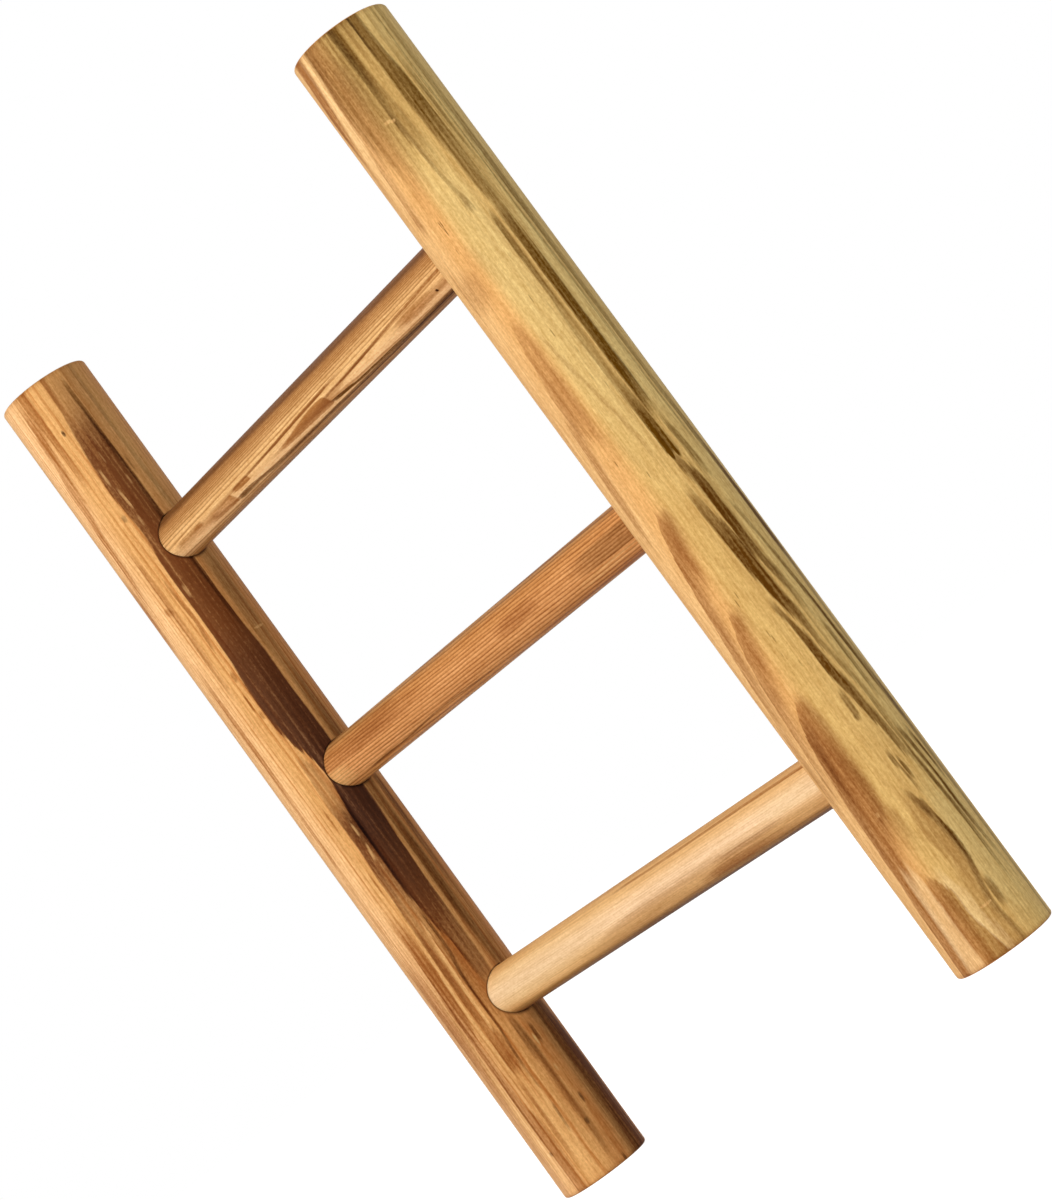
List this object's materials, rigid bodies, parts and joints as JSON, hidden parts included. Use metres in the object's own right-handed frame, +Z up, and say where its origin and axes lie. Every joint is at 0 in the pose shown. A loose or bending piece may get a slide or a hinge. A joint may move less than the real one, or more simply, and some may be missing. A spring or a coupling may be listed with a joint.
{
  "type": "towel ladder",
  "caption": "Wooden towel ladder: round poles joined by round rungs in glued blind bores, to stand against a wall and hang towels on.",
  "frame": {"origin": "on the floor, midway between the feet of the two poles, on the plane through both poles' axes", "axes": "+X from the left pole to the right pole along the rungs, +Y to the back, +Z up along the poles"},
  "size_m": [0.37, 0.05, 0.492],
  "materials": {
    "amber_pole": "satin varnish over amber, brown-streaked softwood",
    "golden_pole": "satin varnish over golden, olive-streaked softwood",
    "striped_rung": "satin varnish over orange-tan softwood with fine dark lines",
    "russet_rung": "satin varnish over reddish-brown softwood with fine lines",
    "peach_rung": "satin varnish over pale peach softwood with faint grain"
  },
  "bodies": {
    "root": {"rail_left": "amber_pole", "rail_right": "golden_pole", "rung_top": "striped_rung", "rung_middle": "russet_rung", "rung_bottom": "peach_rung"}
  },
  "joints": []
}
